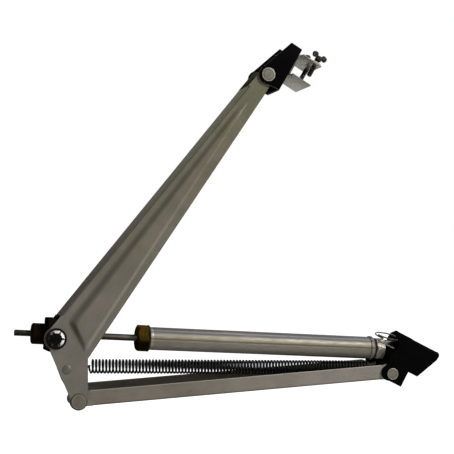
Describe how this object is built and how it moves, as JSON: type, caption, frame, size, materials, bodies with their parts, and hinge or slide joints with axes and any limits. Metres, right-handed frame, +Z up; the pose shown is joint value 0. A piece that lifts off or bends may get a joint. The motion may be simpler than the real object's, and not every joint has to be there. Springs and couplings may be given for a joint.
{
  "type": "greenhouse vent opener",
  "caption": "Automatic greenhouse vent opener: a wax cylinder unfolds sheet-metal arms between a frame bracket and a window clamp, and a long coil spring pulls them shut.",
  "frame": {"origin": "centre of the outer face of the frame bracket's screw flange", "axes": "+Z up, +X to the viewer's right along the lower arm and cylinder, +Y away from the viewer across the arms"},
  "size_m": [0.4397, 0.0457, 0.3676],
  "materials": {
    "black_steel": "satin black paint",
    "arm_steel": "dull zinc-plated sheet",
    "pin_steel": "plain steel",
    "bright_wire": "bright drawn wire",
    "spring_steel": "black oiled wire",
    "rod_steel": "ground and threaded",
    "dark_brass": "dark, knurled",
    "tube_aluminium": "drawn tube, fine lines along it",
    "brass": "turned",
    "black_rubber": "matt",
    "bush_plastic": "turned plastic",
    "wax": "mineral wax",
    "zinc_steel": "bright zinc plate"
  },
  "bodies": {
    "frame": {"frame_bracket": "black_steel", "frame_pin": "pin_steel", "frame_pin_cap": "pin_steel"},
    "lower_arm": {"lower_arm": "arm_steel", "elbow_pin": "pin_steel", "elbow_pin_cap": "pin_steel", "spring_anchor_pin": "pin_steel", "cylinder_holder": "black_steel", "holder_pin": "black_steel", "retaining_clip": "bright_wire", "tension_spring": "spring_steel"},
    "upper_arm": {"upper_arm": "arm_steel", "spring_pin": "pin_steel"},
    "block": {"trunnion_block": "black_steel", "star_locks": "black_steel"},
    "cylinder": {"cylinder_tube": "tube_aluminium", "gland_nut": "brass", "gland_washer": "black_rubber", "guide_bush": "bush_plastic", "rod_seal": "black_rubber", "wax_charge": "wax", "end_seal_ring": "black_rubber", "end_nut": "zinc_steel", "end_stud": "zinc_steel"},
    "rod": {"piston_rod": "rod_steel"},
    "nut": {"adjusting_nut": "dark_brass"},
    "window": {"window_bracket": "black_steel", "window_pin": "pin_steel", "window_pin_cap": "pin_steel", "window_clip": "zinc_steel", "clip_rivets": "zinc_steel", "clamp_nuts": "zinc_steel"},
    "near_screw": {"near_wing_screw": "zinc_steel"},
    "far_screw": {"far_wing_screw": "zinc_steel"}
  },
  "joints": [
    {"name": "lower_arm_swing", "type": "hinge", "parent": "frame", "child": "lower_arm", "pos_m": [-0.03544, 0, -0.02948], "axis": [0, 1, 0], "range_deg": [-45, 10]},
    {"name": "arm_opening", "type": "hinge", "parent": "lower_arm", "child": "upper_arm", "pos_m": [-0.36175, 0, -0.0507], "axis": [0, -1, 0], "range_deg": [-38, 18], "deforming": ["tension_spring"]},
    {"name": "window_swing", "type": "hinge", "parent": "upper_arm", "child": "window", "pos_m": [-0.17301, 0, 0.2745], "axis": [0, 1, 0], "range_deg": [-75, 25]},
    {"name": "cylinder_tilt", "type": "hinge", "parent": "lower_arm", "child": "cylinder", "pos_m": [-0.03014, 0, -0.00468], "axis": [0, -1, 0], "range_deg": [-0.9, 0.45]},
    {"name": "rod_slide", "type": "slide", "parent": "cylinder", "child": "rod", "axis": [-0.9987, 0, 0.0503], "range_m": [-0.043, 0.0195]},
    {"name": "block_turn", "type": "hinge", "parent": "upper_arm", "child": "block", "pos_m": [-0.38427, 0, 0.00964], "axis": [0, -1, 0], "range_deg": [-18, 39]},
    {"name": "nut_turn", "type": "hinge", "parent": "rod", "child": "nut", "pos_m": [-0.03014, 0, -0.00468], "axis": [-0.9987, 0, 0.0503], "continuous": true},
    {"name": "near_screw_slide", "type": "slide", "parent": "window", "child": "near_screw", "axis": [0.5015, 0, 0.8652], "range_m": [-0.0022, 0.011]},
    {"name": "far_screw_slide", "type": "slide", "parent": "window", "child": "far_screw", "axis": [0.5015, 0, 0.8652], "range_m": [-0.0022, 0.011]}
  ],
  "couplings": [
    {"joint": "cylinder_tilt", "follows": "arm_opening", "ratio": 0.022},
    {"joint": "rod_slide", "follows": "arm_opening", "m_per_rad": 0.060733},
    {"joint": "block_turn", "follows": "arm_opening", "ratio": -0.978}
  ]
}
